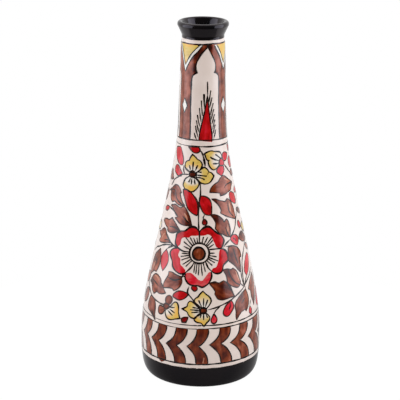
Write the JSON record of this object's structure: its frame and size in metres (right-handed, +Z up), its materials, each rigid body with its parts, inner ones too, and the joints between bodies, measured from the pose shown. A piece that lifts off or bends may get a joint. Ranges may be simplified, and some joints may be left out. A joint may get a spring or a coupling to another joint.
{
  "type": "bottle vase",
  "caption": "Tall hand-painted ceramic bottle vase with a rounded belly, a long tapering neck and a flared black lip; stands on a bare foot ring and holds water and cut stems.",
  "frame": {"origin": "centre of the foot ring, on the surface that the vase stands on", "axes": "+Z up along the axis that the vase was turned on, out through the mouth; -Y faces the viewer of the picture"},
  "size_m": [0.1101, 0.1102, 0.33],
  "materials": {
    "bare_clay": "fired, unglazed, matte",
    "joint_slip": "fired slip, matte",
    "clear_lining": "clear glaze over pale clay, glossy",
    "ivory_glaze": "ivory ground with painted decoration under a glossy glaze",
    "black_glaze": "black glaze, glossy"
  },
  "bodies": {
    "root": {"base": "bare_clay", "drum": "bare_clay", "cone": "bare_clay", "neck": "bare_clay", "collar": "bare_clay", "base_joint_slip": "joint_slip", "drum_joint_slip": "joint_slip", "neck_joint_slip": "joint_slip", "collar_joint_slip": "joint_slip", "lining_glaze": "clear_lining", "wall_glaze": "ivory_glaze", "foot_glaze": "black_glaze", "lip_glaze": "black_glaze"}
  },
  "joints": []
}
